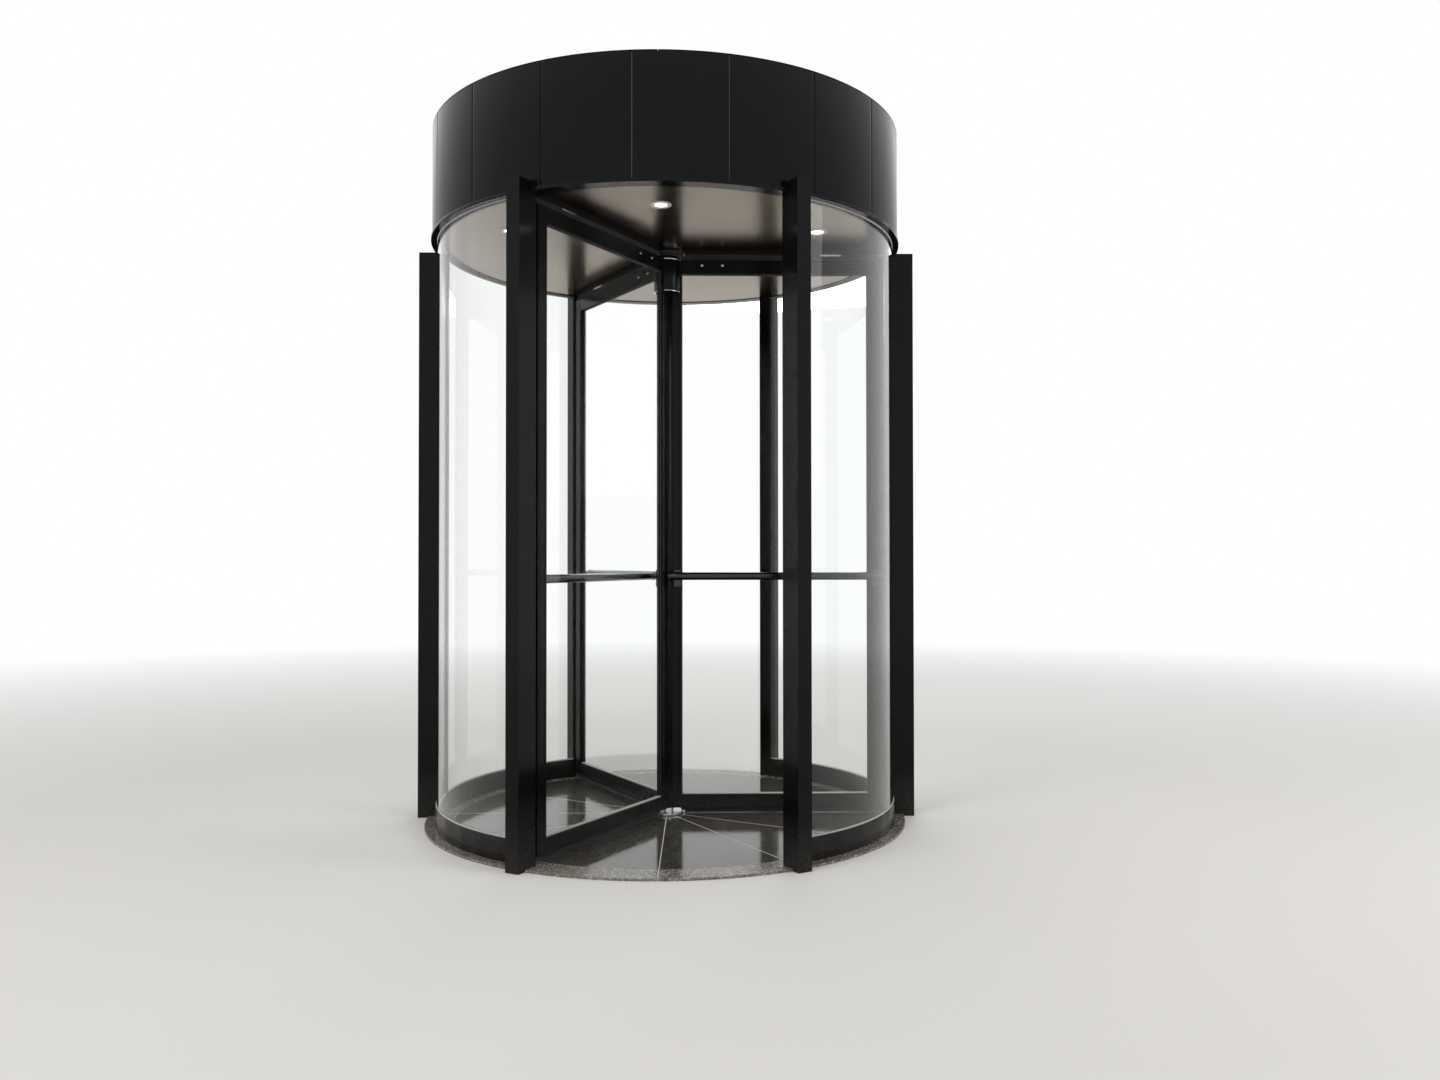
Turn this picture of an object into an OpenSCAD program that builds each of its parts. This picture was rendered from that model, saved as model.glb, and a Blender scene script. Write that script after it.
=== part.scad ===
// Revolving door with three wings: a round glazed drum with a canopy, and a
// rotor that turns on a floor pivot and in a bearing above the ceiling.
// The origin is at floor level on the axis of the drum, with +Z up. The outside
// throat faces -Y, the inside throat faces +Y, and the wall meets the drum at +X and -X.

/* [Drum] */
// Outer radius of the curved glass
glass_r = 1050; // [900:1:1300]
// Thickness of the curved glass
glass_t = 12; // [8:1:16]
// Floor to the underside of the canopy
ceiling_h = 2630; // [2200:10:2900]
// Angle between the centre lines of the two posts of a throat
throat_angle = 59; // [50:1:70]
// Play on each side of the curved glass in its grooves
glass_play = 1.2; // [0.8:0.1:2]

/* [Posts] */
// Width of a throat post along the drum
post_w = 64; // [50:1:90]
// How far a throat post stands outside the glass
post_reach = 90; // [60:1:140]
// Wall thickness of the post tubes
post_wall = 4; // [3:0.5:6]
// How far the front of a post stands up past the canopy's lower edge
post_lap = 43; // [20:1:80]
// Width of a wall post along the drum
wall_post_w = 90; // [60:1:120]
// How far a wall post stands outside the glass
wall_post_out = 104; // [70:1:200]
// Width of the cover strip between two curved glasses
joint_strip_w = 44; // [30:1:60]
// Thickness of the web between two curved glasses
joint_web_t = 12; // [8:1:20]

/* [Base rails] */
// Height of the curved base rails
base_rail_h = 95; // [60:1:150]
// How far a base rail stands inside the glass
base_rail_in = 4; // [3:0.5:10]
// How far a base rail stands outside the glass
base_rail_out = 6; // [4:0.5:12]
// Depth of the glass groove in a base rail
base_groove = 15; // [10:1:30]
// Wall thickness of a base rail
base_wall = 3; // [2:0.5:3]

/* [Floor] */
// Thickness of the stone floor above the ground
stone_t = 10; // [8:1:30]
// How far the border ring reaches outside the glass
border_out = 52; // [20:1:60]
// How far the border ring reaches in from the outer face of the glass
border_in = 72; // [40:1:200]
// Joint between the border ring and the disc
stone_joint = 0.5; // [0.3:0.1:3]
// Number of wedge slabs round the floor
slab_count = 12; // [8:2:16]
// Joint between two slabs
slab_joint = 3; // [2:0.5:5]

/* [Canopy] */
// Height of the canopy
canopy_h = 504; // [300:1:700]
// How far the canopy's lower flange stands outside the glass
flange_out = 30; // [14:1:40]
// Height of the canopy's lower flange
flange_h = 14; // [10:1:30]
// Height of the canopy ring behind the fascia
ring_h = 45; // [30:1:80]
// Depth of the glass groove in the canopy ring
top_groove = 15; // [10:1:25]
// Thickness of the fascia panels
fascia_t = 4; // [2:0.5:6]
// Number of fascia panels round the canopy
fascia_count = 18; // [12:2:24]
// Open joint between two fascia panels
fascia_joint_w = 3; // [1:0.5:6]
// Turn of the fascia joints from the wall line
fascia_turn = 4.7; // [0:0.1:9]
// Thickness of the roof sheet
roof_t = 4; // [2:0.5:8]
// Thickness of the ceiling sheet
ceiling_t = 4; // [2:0.5:6]
// Width of the ledge that carries the ceiling
ledge_w = 8; // [5:1:20]
// Thickness of the ledge that carries the ceiling
ledge_t = 3; // [2:0.5:5]

/* [Downlights] */
// Number of downlights
light_count = 6; // [4:1:8]
// Distance of the circle of downlights from the glass
light_inset = 275; // [180:5:400]
// Outer diameter of a downlight's rim
light_rim_d = 88; // [60:1:110]
// Diameter of a downlight's housing
light_body_d = 67; // [40:1:90]
// Height of a downlight's housing above the ceiling
light_body_h = 33; // [20:1:36]

/* [Bearings] */
// Radius of the cover plate of the floor pivot
pivot_plate_r = 78; // [65:1:110]
// Height of the cover plate above the stone
pivot_plate_t = 10; // [5:1:15]
// Radius of the pivot's neck
pivot_neck_r = 30; // [26:1:32]
// Radius of the pivot pin
pivot_pin_r = 20; // [14:1:25]
// Length of the pivot pin above its neck
pivot_pin_l = 38; // [20:1:60]
// Radial play of the shaft on its pin and in its upper bearing
bearing_play = 0.05; // [0.02:0.01:0.1]
// Gap between the pivot's neck and the shaft that it carries
pivot_gap = 0.3; // [0.1:0.1:0.5]
// Radius of the shaft's upper spindle
spindle_r = 25; // [18:1:35]
// Wall of the upper bearing round the spindle
bearing_wall = 23.4; // [10:0.1:30]
// Radius of the cover plate round the shaft under the ceiling
cover_r = 80; // [60:1:110]
// Thickness of the cover plate under the ceiling
cover_t = 6; // [3:1:8]
// Width of the two beams that carry the upper bearing
beam_w = 80; // [50:1:120]
// Height of the two beams that carry the upper bearing
beam_h = 80; // [50:1:120]
// Wall thickness of the two beams
beam_wall = 5; // [3:0.5:10]

/* [Rotor] */
// Turn of the wings from the wall line at rest
rest_turn = 0.5; // [0:0.5:10]
// Running clearance of the brushes to the floor, the rails and the canopy
run_gap = 5; // [5:0.5:12]
// Outer radius of the centre shaft
shaft_r = 32; // [30:1:50]
// Wall thickness of the centre shaft
shaft_wall = 6; // [4:0.5:12]
// Height of the collar below the tops of the wings
collar_h = 152; // [100:1:240]
// Thickness of the collar's shells
collar_t = 5; // [3:0.5:8]
// How far the collar stands back from the outer edges of the inner stiles
collar_set = 3; // [1:1:10]
// Thickness of the collar's cap on top of the wings
cap_t = 12; // [6:1:14]

/* [Wings] */
// Thickness of the wing frames
frame_t = 40; // [36:1:60]
// Width of a wing's outer stile
stile_w = 58; // [50:1:100]
// Height of a wing's top and bottom rails
wing_rail_h = 62; // [45:1:120]
// Wall thickness of the wing frames
frame_wall = 3; // [2:0.5:4]
// Thickness of the wing glass
wing_glass_t = 12; // [8:1:15]
// Play on each side of a wing's glass and brushes in their grooves
wing_play = 0.3; // [0.2:0.1:0.5]
// Depth of the glass grooves in the wing frames
wing_groove = 10; // [8:1:16]
// Width of a wing's inner stile at the shaft
inner_stile_w = 36; // [30:1:60]
// Visible length of the brushes
brush_l = 22; // [15:1:40]
// Thickness of the brushes
brush_t = 8; // [5:1:12]
// Depth of the brush grooves
brush_groove = 8; // [5:1:12]
// Width of the fine grooves along the frames
line_w = 2; // [1:0.5:3]
// Depth of the fine grooves along the frames
line_d = 1; // [0.5:0.5:2]

/* [Push bars] */
// Height of the push bars above the ground
bar_z = 1119; // [900:1:1200]
// Diameter of the push bars
bar_d = 36; // [25:1:40]
// Wall thickness of the push bars
bar_wall = 2.5; // [1.5:0.5:4]
// Distance from the middle of a wing to the middle of its push bar
bar_off = 75; // [70:1:110]
// Distance from the axis to the inner end of a push bar
bar_start = 6; // [2:1:20]
// Distance from the drum's inner face to the outer end of a push bar
bar_end_gap = 17; // [14:1:80]
// Diameter of the stems of the brackets
stem_d = 24; // [16:1:28]
// Height of the bracket plates
bracket_h = 78; // [50:1:100]
// How far the middle of a bracket plate lies below the push bar
bracket_drop = 11; // [0:1:20]
// Width of the bracket plates
bracket_w = 32; // [26:1:36]
// Thickness of the bracket plates
bracket_t = 6; // [4:1:10]

/* [Hidden] */
$fn = 96;

// A little more than nothing, so that a cut passes through a face
eps = 0.5;

// Drum
glass_in_r = glass_r - glass_t;
drum_in_r = glass_in_r - base_rail_in;
base_out_r = glass_r + base_rail_out;
base_top = stone_t + base_rail_h;
groove_in_r = glass_in_r - glass_play;
groove_out_r = glass_r + glass_play;
glass_z = base_top - base_groove;
glass_top = ceiling_h + top_groove - 1;
// Angle of a throat post, counted from the wall line
post_angle = 90 - throat_angle / 2;
// Angle from the wall line to the end of a base rail at the side of a post
rail_end = post_angle - asin((post_w / 2 + 0.05) / drum_in_r);
// Angle from the wall line to the web between two glasses
web_angle = asin((joint_web_t / 2 + glass_play) / glass_in_r);

// Posts and floor
post_out_r = glass_r + post_reach;
wall_post_x = glass_r + wall_post_out;
border_out_r = glass_r + border_out;
border_in_r = glass_r - border_in;
disc_r = border_in_r - stone_joint;

// Canopy
flange_r = glass_r + flange_out;
fascia_r = flange_r - 6;
fascia_in_r = fascia_r - fascia_t;
ring_out_r = fascia_in_r - 1;
ring_in_r = drum_in_r - ledge_w;
ring_top = ceiling_h + ring_h;
ledge_in_r = ring_in_r - ledge_w;
ceiling_z = ceiling_h + ledge_t;
fascia_z = ceiling_h + flange_h;
canopy_top = ceiling_h + canopy_h;
roof_z = canopy_top - roof_t;
fascia_step = 360 / fascia_count;
fascia_gap_angle = fascia_joint_w / fascia_r * 180 / PI;
light_circle_r = glass_r - light_inset;

// Bearings
pivot_body_r = pivot_plate_r - 18;
pivot_plate_z = stone_t + pivot_plate_t;
bearing_r = spindle_r + bearing_play + bearing_wall;
bearing_z = ceiling_z - cover_t;
beam_l = 2 * (ring_out_r - 7);
beam_top = ring_top + beam_h;

// Rotor
frame_z = stone_t + run_gap + brush_l;
frame_top = ceiling_h - run_gap - brush_l;
brush_tip_r = drum_in_r - run_gap;
frame_r = brush_tip_r - brush_l;
stile_in_r = frame_r - stile_w;
rail_top_z = frame_top - wing_rail_h;
rail_bottom_top = frame_z + wing_rail_h;
shaft_bottom = frame_z;
pivot_neck_top = shaft_bottom - pivot_gap;
shaft_top = bearing_z - run_gap;
inner_stile_r = shaft_r + inner_stile_w;
collar_r = inner_stile_r - collar_set;
wing_slot = wing_glass_t + 2 * wing_play;
brush_slot = brush_t + 2 * wing_play;

// Shapes shared by several parts

module ring(r_in, r_out, z0, z1) {
  translate([0, 0, z0]) difference() {
    cylinder(r = r_out, h = z1 - z0);
    translate([0, 0, -eps]) cylinder(r = r_in, h = z1 - z0 + 2 * eps);
  }
}

module arc(r_in, r_out, z0, z1, a0, a1) {
  rotate([0, 0, a0]) rotate_extrude(angle = a1 - a0) translate([r_in, z0]) square([r_out - r_in, z1 - z0]);
}

// A box from one corner to the other
module block(low, high) {
  translate(low) cube([high[0] - low[0], high[1] - low[1], high[2] - low[2]]);
}

module on_wing(index) {
  rotate([0, 0, rest_turn + 120 * index]) children();
}

// Floor

// The joints between the slabs, from the pivot to the edge of the stone
module slab_joints() {
  for (k = [0:slab_count - 1])
    rotate([0, 0, k * 360 / slab_count])
      block([pivot_body_r - slab_joint, -slab_joint / 2, -eps],
            [border_out_r + 10, slab_joint / 2, stone_t + eps]);
}

module floor_disc() {
  color([0.16, 0.17, 0.18]) difference() {
    ring(pivot_body_r + 0.3, disc_r, 0, stone_t);
    slab_joints();
  }
}

module floor_border() {
  color([0.42, 0.43, 0.44]) difference() {
    ring(border_in_r, border_out_r, 0, stone_t);
    slab_joints();
    for (a = [post_angle, 180 - post_angle, 180 + post_angle, 360 - post_angle])
      rotate([0, 0, a])
        block([drum_in_r - eps, -post_w / 2 - eps, -eps],
              [border_out_r + 10, post_w / 2 + eps, stone_t + eps]);
  }
}

module floor_pivot() {
  color([0.75, 0.75, 0.74]) union() {
    cylinder(r = pivot_body_r, h = stone_t);
    translate([0, 0, stone_t]) cylinder(r = pivot_plate_r, h = pivot_plate_t);
    translate([0, 0, pivot_plate_z]) cylinder(r = pivot_neck_r, h = pivot_neck_top - pivot_plate_z);
    translate([0, 0, pivot_neck_top]) cylinder(r = pivot_pin_r, h = pivot_pin_l);
  }
}

// Drum

module throat_post(angle) {
  color([0.05, 0.05, 0.055]) rotate([0, 0, angle]) difference() {
    union() {
      block([drum_in_r, -post_w / 2, 0], [post_out_r, post_w / 2, ceiling_h]);
      block([flange_r + glass_play, -post_w / 2, ceiling_h - eps],
            [post_out_r, post_w / 2, ceiling_h + post_lap]);
    }
    block([drum_in_r + post_wall, -post_w / 2 + post_wall, -eps],
          [post_out_r - post_wall, post_w / 2 - post_wall, ceiling_h - post_wall]);
  }
}

module wall_post(angle) {
  $fn = 288;
  color([0.05, 0.05, 0.055]) rotate([0, 0, angle]) union() {
    difference() {
      block([glass_in_r, -wall_post_w / 2, 0], [wall_post_x, wall_post_w / 2, ceiling_h]);
      translate([0, 0, -eps]) cylinder(r = groove_out_r, h = ceiling_h + 2 * eps);
      translate([0, 0, -eps]) cylinder(r = base_out_r + glass_play, h = base_top + eps);
      translate([0, 0, -eps]) cylinder(r = border_out_r + stone_joint, h = stone_t + eps);
      block([groove_out_r + 2 * post_wall, -wall_post_w / 2 + post_wall, -eps],
            [wall_post_x - post_wall, wall_post_w / 2 - post_wall, ceiling_h - post_wall]);
    }
    block([drum_in_r + 1, -joint_web_t / 2, base_top], [groove_out_r + 2, joint_web_t / 2, ceiling_h]);
    intersection() {
      ring(drum_in_r, groove_in_r, base_top, ceiling_h);
      block([0, -joint_strip_w / 2, base_top], [glass_r, joint_strip_w / 2, ceiling_h]);
    }
  }
}

module base_rail(angle) {
  color([0.05, 0.05, 0.055])
    rotate([0, 0, angle - rail_end]) rotate_extrude(angle = 2 * rail_end) difference() {
      translate([drum_in_r, stone_t]) square([base_out_r - drum_in_r, base_rail_h]);
      translate([groove_in_r, glass_z]) square([groove_out_r - groove_in_r, base_groove + eps]);
      translate([drum_in_r + base_wall, stone_t + base_wall])
        square([base_out_r - drum_in_r - 2 * base_wall, base_rail_h - base_groove - 2 * base_wall]);
    }
}

module curved_glass(a0, a1) {
  color([0.78, 0.86, 0.84, 0.35]) arc(glass_in_r, glass_r, glass_z, glass_top, a0, a1);
}

// Canopy

module canopy_ring() {
  color([0.06, 0.06, 0.065]) difference() {
    union() {
      ring(ring_in_r, flange_r, ceiling_h, fascia_z);
      ring(ring_in_r, ring_out_r, ceiling_h, ring_top);
      ring(ledge_in_r, ring_in_r + 1, ceiling_h, ceiling_z);
    }
    for (side = [0, 180])
      arc(groove_in_r, groove_out_r, ceiling_h - eps, ceiling_h + top_groove,
          side - rail_end, side + rail_end);
  }
}

module canopy_ceiling() {
  color([0.62, 0.60, 0.57]) difference() {
    ring(bearing_r + 0.5, ring_in_r - 0.5, ceiling_z, ceiling_z + ceiling_t);
    for (k = [0:light_count - 1])
      rotate([0, 0, (k + 0.5) * 360 / light_count])
        translate([light_circle_r, 0, ceiling_z - eps])
          cylinder(d = light_body_d + 1, h = ceiling_t + 2 * eps);
  }
}

// Half of the fascia's panels, from one side of the wall to the other
module fascia(first) {
  $fn = 288;
  color([0.045, 0.045, 0.05])
    for (k = [0:fascia_count / 2 - 1])
      arc(fascia_in_r, fascia_r, fascia_z, roof_z,
          first + fascia_turn + k * fascia_step + fascia_gap_angle / 2,
          first + fascia_turn + (k + 1) * fascia_step - fascia_gap_angle / 2);
}

module canopy_roof() {
  color([0.10, 0.10, 0.11]) translate([0, 0, roof_z]) cylinder(r = fascia_r, h = roof_t);
}

module downlights() {
  color([0.85, 0.84, 0.80])
    for (k = [0:light_count - 1])
      rotate([0, 0, (k + 0.5) * 360 / light_count]) translate([light_circle_r, 0, 0])
        rotate_extrude() difference() {
          union() {
            translate([0, ceiling_h]) square([light_rim_d / 2, ledge_t]);
            translate([0, ceiling_h]) square([light_body_d / 2, ledge_t + ceiling_t + light_body_h]);
          }
          translate([-eps, ceiling_h - eps]) square([light_body_d / 2 - 3 + eps, 9 + eps]);
        }
}

module bearing_beam() {
  color([0.30, 0.31, 0.32]) difference() {
    union() {
      for (a = [0, 90])
        rotate([0, 0, a]) difference() {
          block([-beam_l / 2, -beam_w / 2, ring_top], [beam_l / 2, beam_w / 2, beam_top]);
          block([-beam_l / 2 - eps, -beam_w / 2 + beam_wall, ring_top + beam_wall],
                [beam_l / 2 + eps, beam_w / 2 - beam_wall, beam_top - beam_wall]);
        }
      translate([0, 0, bearing_z]) cylinder(r = bearing_r, h = beam_top - bearing_z);
      translate([0, 0, bearing_z]) cylinder(r = cover_r, h = cover_t);
    }
    translate([0, 0, bearing_z - eps])
      cylinder(r = spindle_r + bearing_play, h = beam_top - bearing_z + 2 * eps);
  }
}

// Rotor

module shaft() {
  pin_bore_r = pivot_pin_r + bearing_play;
  pin_bore_top = pivot_neck_top + pivot_pin_l + 2;
  color([0.05, 0.05, 0.055]) difference() {
    union() {
      translate([0, 0, shaft_bottom]) cylinder(r = shaft_r, h = shaft_top - shaft_bottom);
      translate([0, 0, shaft_top - eps]) cylinder(r = spindle_r, h = beam_top - 15 - shaft_top + eps);
    }
    translate([0, 0, shaft_bottom - eps]) cylinder(r = pin_bore_r, h = pin_bore_top - shaft_bottom + eps);
    translate([0, 0, pin_bore_top + 2 * shaft_wall])
      cylinder(r = shaft_r - shaft_wall, h = shaft_top - pin_bore_top - 6 * shaft_wall);
  }
}

// A cap on the three inner stiles, with shells that close the corners between them
module shaft_collar() {
  color([0.05, 0.05, 0.055]) on_wing(0) union() {
    ring(shaft_r + wing_play, collar_r, frame_top, frame_top + cap_t);
    difference() {
      ring(collar_r - collar_t, collar_r, frame_top - collar_h, frame_top + eps);
      for (k = [0:2])
        rotate([0, 0, 120 * k])
          block([0, -frame_t / 2, frame_top - collar_h - eps], [collar_r + 5, frame_t / 2, frame_top]);
    }
  }
}

// Section of a wing frame: the brush groove is at the bottom, the glass groove at the top
module frame_section(height) {
  cavity_low = brush_groove + frame_wall;
  cavity_high = height - wing_groove - frame_wall;
  difference() {
    translate([-frame_t / 2, 0]) square([frame_t, height]);
    translate([-wing_slot / 2, height - wing_groove]) square([wing_slot, wing_groove + eps]);
    translate([-brush_slot / 2, -eps]) square([brush_slot, brush_groove + eps]);
    translate([-frame_t / 2 + frame_wall, cavity_low])
      square([frame_t - 2 * frame_wall, cavity_high - cavity_low]);
    for (side = [-1, 1], v = [cavity_low, cavity_high])
      translate([side * frame_t / 2 - line_d, v - line_w / 2]) square([2 * line_d, line_w]);
  }
}

module wing_rail() {
  rotate([90, 0, 90]) translate([0, 0, inner_stile_r]) linear_extrude(stile_in_r - inner_stile_r)
    frame_section(wing_rail_h);
}

module wing_bottom_rail() {
  color([0.05, 0.05, 0.055]) translate([0, 0, frame_z]) wing_rail();
}

module wing_top_rail() {
  color([0.05, 0.05, 0.055]) translate([0, 0, frame_top]) mirror([0, 0, 1]) wing_rail();
}

module wing_outer_stile() {
  color([0.05, 0.05, 0.055]) difference() {
    translate([frame_r, 0, frame_z]) rotate([0, 0, 90]) linear_extrude(frame_top - frame_z)
      frame_section(stile_w);
    for (z = [frame_z, frame_top])
      block([stile_in_r - eps, -brush_slot / 2, z - brush_groove],
            [frame_r + eps, brush_slot / 2, z + brush_groove]);
  }
}

// The stile at the shaft, hollowed to the shaft's round face
module wing_inner_stile() {
  core_in = shaft_r + frame_wall;
  core_out = inner_stile_r - wing_groove - frame_wall;
  color([0.05, 0.05, 0.055]) translate([0, 0, frame_z]) linear_extrude(frame_top - frame_z) difference() {
    translate([shaft_r / 2, -frame_t / 2]) square([inner_stile_r - shaft_r / 2, frame_t]);
    circle(r = shaft_r + wing_play);
    translate([inner_stile_r - wing_groove, -wing_slot / 2]) square([wing_groove + eps, wing_slot]);
    translate([core_in, -frame_t / 2 + frame_wall]) square([core_out - core_in, frame_t - 2 * frame_wall]);
    for (side = [-1, 1])
      translate([core_out - line_w / 2, side * frame_t / 2 - line_d]) square([line_w, 2 * line_d]);
  }
}

module wing_glass() {
  color([0.78, 0.86, 0.84, 0.35])
    block([inner_stile_r - wing_groove + 2, -wing_glass_t / 2, rail_bottom_top - wing_groove],
          [stile_in_r + wing_groove - 2, wing_glass_t / 2, rail_top_z + wing_groove - 2]);
}

module wing_brushes() {
  root = brush_groove / 2;
  color([0.02, 0.02, 0.02]) union() {
    block([pivot_plate_r + run_gap + 2, -brush_t / 2, frame_z - brush_l],
          [brush_tip_r, brush_t / 2, frame_z + root]);
    block([cover_r + run_gap + 2, -brush_t / 2, frame_top - root],
          [brush_tip_r, brush_t / 2, frame_top + brush_l]);
    block([frame_r - root, -brush_t / 2, frame_z - brush_l],
          [brush_tip_r, brush_t / 2, frame_top + brush_l]);
  }
}

module push_bar() {
  bar_end = drum_in_r - bar_end_gap;
  plate_z = bar_z - bracket_drop;
  color([0.12, 0.12, 0.125]) union() {
    translate([bar_start, -bar_off, bar_z]) rotate([0, 90, 0]) difference() {
      cylinder(d = bar_d, h = bar_end - bar_start);
      translate([0, 0, bar_wall])
        cylinder(d = bar_d - 2 * bar_wall, h = bar_end - bar_start - 2 * bar_wall);
    }
    for (x = [shaft_r + inner_stile_w / 2, stile_in_r + stile_w / 2]) {
      block([x - bracket_w / 2, -frame_t / 2 - bracket_t, plate_z - bracket_h / 2],
            [x + bracket_w / 2, -frame_t / 2, plate_z + bracket_h / 2]);
      translate([x, -frame_t / 2 - bracket_t / 2, bar_z]) rotate([90, 0, 0])
        cylinder(d = stem_d, h = bar_off - frame_t / 2 - bracket_t / 2 - bar_d / 2 + bar_wall);
    }
  }
}

floor_disc();
floor_border();
floor_pivot();
throat_post(180 + post_angle);  // post_front_left
throat_post(360 - post_angle);  // post_front_right
throat_post(180 - post_angle);  // post_back_left
throat_post(post_angle);  // post_back_right
wall_post(180);  // wall_post_left
wall_post(0);  // wall_post_right
base_rail(180);  // base_rail_left
base_rail(0);  // base_rail_right
curved_glass(180 + web_angle, 180 + rail_end);  // glass_front_left
curved_glass(360 - rail_end, 360 - web_angle);  // glass_front_right
curved_glass(180 - rail_end, 180 - web_angle);  // glass_back_left
curved_glass(web_angle, rail_end);  // glass_back_right
canopy_ring();
canopy_ceiling();
fascia(180);  // canopy_fascia_outside
fascia(0);  // canopy_fascia_inside
canopy_roof();
downlights();
bearing_beam();
shaft();
shaft_collar();
on_wing(0) wing_top_rail();  // wing_a_top_rail
on_wing(0) wing_bottom_rail();  // wing_a_bottom_rail
on_wing(0) wing_outer_stile();  // wing_a_outer_stile
on_wing(0) wing_inner_stile();  // wing_a_inner_stile
on_wing(0) wing_glass();  // wing_a_glass
on_wing(0) wing_brushes();  // wing_a_brushes
on_wing(0) push_bar();  // wing_a_push_bar
on_wing(1) wing_top_rail();  // wing_b_top_rail
on_wing(1) wing_bottom_rail();  // wing_b_bottom_rail
on_wing(1) wing_outer_stile();  // wing_b_outer_stile
on_wing(1) wing_inner_stile();  // wing_b_inner_stile
on_wing(1) wing_glass();  // wing_b_glass
on_wing(1) wing_brushes();  // wing_b_brushes
on_wing(1) push_bar();  // wing_b_push_bar
on_wing(2) wing_top_rail();  // wing_c_top_rail
on_wing(2) wing_bottom_rail();  // wing_c_bottom_rail
on_wing(2) wing_outer_stile();  // wing_c_outer_stile
on_wing(2) wing_inner_stile();  // wing_c_inner_stile
on_wing(2) wing_glass();  // wing_c_glass
on_wing(2) wing_brushes();  // wing_c_brushes
on_wing(2) push_bar();  // wing_c_push_bar
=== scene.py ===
"""Finishes and fine detail for a three-wing revolving door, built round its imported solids."""

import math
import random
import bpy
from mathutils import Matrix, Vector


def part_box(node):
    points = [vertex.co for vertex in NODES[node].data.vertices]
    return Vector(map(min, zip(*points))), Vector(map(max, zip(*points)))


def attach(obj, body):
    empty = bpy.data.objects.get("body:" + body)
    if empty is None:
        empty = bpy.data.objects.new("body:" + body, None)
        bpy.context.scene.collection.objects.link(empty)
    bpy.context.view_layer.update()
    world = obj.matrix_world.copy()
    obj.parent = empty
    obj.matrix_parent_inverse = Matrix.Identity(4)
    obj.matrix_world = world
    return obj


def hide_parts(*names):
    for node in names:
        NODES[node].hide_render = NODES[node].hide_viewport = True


bl_info = {
    "name": "Revolving Door Finish",
    "version": (1, 0, 0),
    "blender": (4, 5, 0),
    "location": "3D Viewport > Sidebar > Door",
    "description": "Dresses the solids of a revolving door with finishes, trims and fittings",
    "category": "Object",
}

from types import SimpleNamespace

import bmesh
import bpy
from bpy.props import FloatProperty, FloatVectorProperty, PointerProperty
from mathutils import Matrix, Vector

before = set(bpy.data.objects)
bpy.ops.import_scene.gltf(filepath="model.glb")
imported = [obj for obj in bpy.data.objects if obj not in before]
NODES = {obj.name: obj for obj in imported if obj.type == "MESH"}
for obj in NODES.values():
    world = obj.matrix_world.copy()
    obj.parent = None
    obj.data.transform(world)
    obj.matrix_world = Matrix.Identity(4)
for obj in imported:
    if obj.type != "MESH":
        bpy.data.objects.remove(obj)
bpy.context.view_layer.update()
DRUM, ROTOR = "drum", "rotor"
WINGS = ("a", "b", "c")
FULL_TURN = 2 * math.pi
MM = 0.001
HAIR = 0.5 * MM  # a step that tells two heights or radii apart
UP, DOWN = (0, 0, 1), (0, 0, -1)
OUTWARD, UPRIGHT = 0, 1  # which of x and z in its wing's frame a tuft of bristles follows
DOWNLIGHTS = 6
ROOF_SHEETS = 8


# Measures read from the solids

def corners(node):
    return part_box(node)


def points(node, angle=0.0):
    """A node's vertices as distances along and across a direction from the axis, and heights."""
    c, s = math.cos(angle), math.sin(angle)
    return [(v.co.x * c + v.co.y * s, v.co.y * c - v.co.x * s, v.co.z) for v in NODES[node].data.vertices]


def rims(node):
    """Distance from the door's axis and height of each of a node's vertices."""
    return [(math.hypot(x, y), z) for x, y, z in points(node)]


def reach(node):
    """Least and greatest distance of a node's vertices from the axis of the door."""
    radii = [r for r, z in rims(node)]
    return min(radii), max(radii)


def across(node, angle):
    """Extent of a node along and across a direction from the axis: (along0, along1, across0, across1)."""
    along, side, _ = zip(*points(node, angle))
    return min(along), max(along), min(side), max(side)


def node_angle(node):
    """Direction of a node's middle seen from the axis, in radians."""
    low, high = corners(node)
    middle = (low + high) / 2
    return math.atan2(middle.y, middle.x)


def open_joints(*nodes):
    """The open joints round the rim of some nodes, each as its first and last angle."""
    least, most = 0.0008, 0.006
    rim = max(reach(node)[1] for node in nodes) - HAIR
    turns = sorted({round(math.atan2(y, x) % FULL_TURN, 5)
                    for node in nodes for x, y, z in points(node) if math.hypot(x, y) > rim})
    turns.append(turns[0] + FULL_TURN)
    return [(a, b) for a, b in zip(turns, turns[1:]) if least < b - a < most]


def with_next(joints):
    """Each joint with the first angle of the next one round."""
    return zip(joints, [start for start, end in joints[1:]] + [joints[0][0] + FULL_TURN])


def plate_top():
    """Height of the top of the pivot's floor plate, at its rim."""
    rim = reach("floor_pivot")[1] - 2 * MM
    return max(z for r, z in rims("floor_pivot") if r > rim)


def cover_radius():
    """Outer radius of the cover plate round the shaft, under the ceiling."""
    foot = corners("bearing_beam")[0].z
    return max(r for r, z in rims("bearing_beam") if z < foot + MM)


def collar_radius():
    """Outer radius of the collar's shells round the shaft, with room for its lips."""
    return reach("shaft_collar")[1] + 0.3 * MM


def light_circle():
    """Radius of the circle that the downlights stand on, and of a downlight's rim."""
    near, far = reach("downlights")
    return (near + far) / 2, (far - near) / 2


# Sizes and colours

def length(name, description, default):
    return FloatProperty(name=name, description=description, default=default, subtype="DISTANCE",
                         unit="LENGTH")


def power(name, description, default):
    return FloatProperty(name=name, description=description, default=default, min=0.0, subtype="POWER",
                         unit="POWER")


def angle(name, description, degrees):
    return FloatProperty(name=name, description=description, default=math.radians(degrees), subtype="ANGLE",
                         unit="ROTATION")


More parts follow.
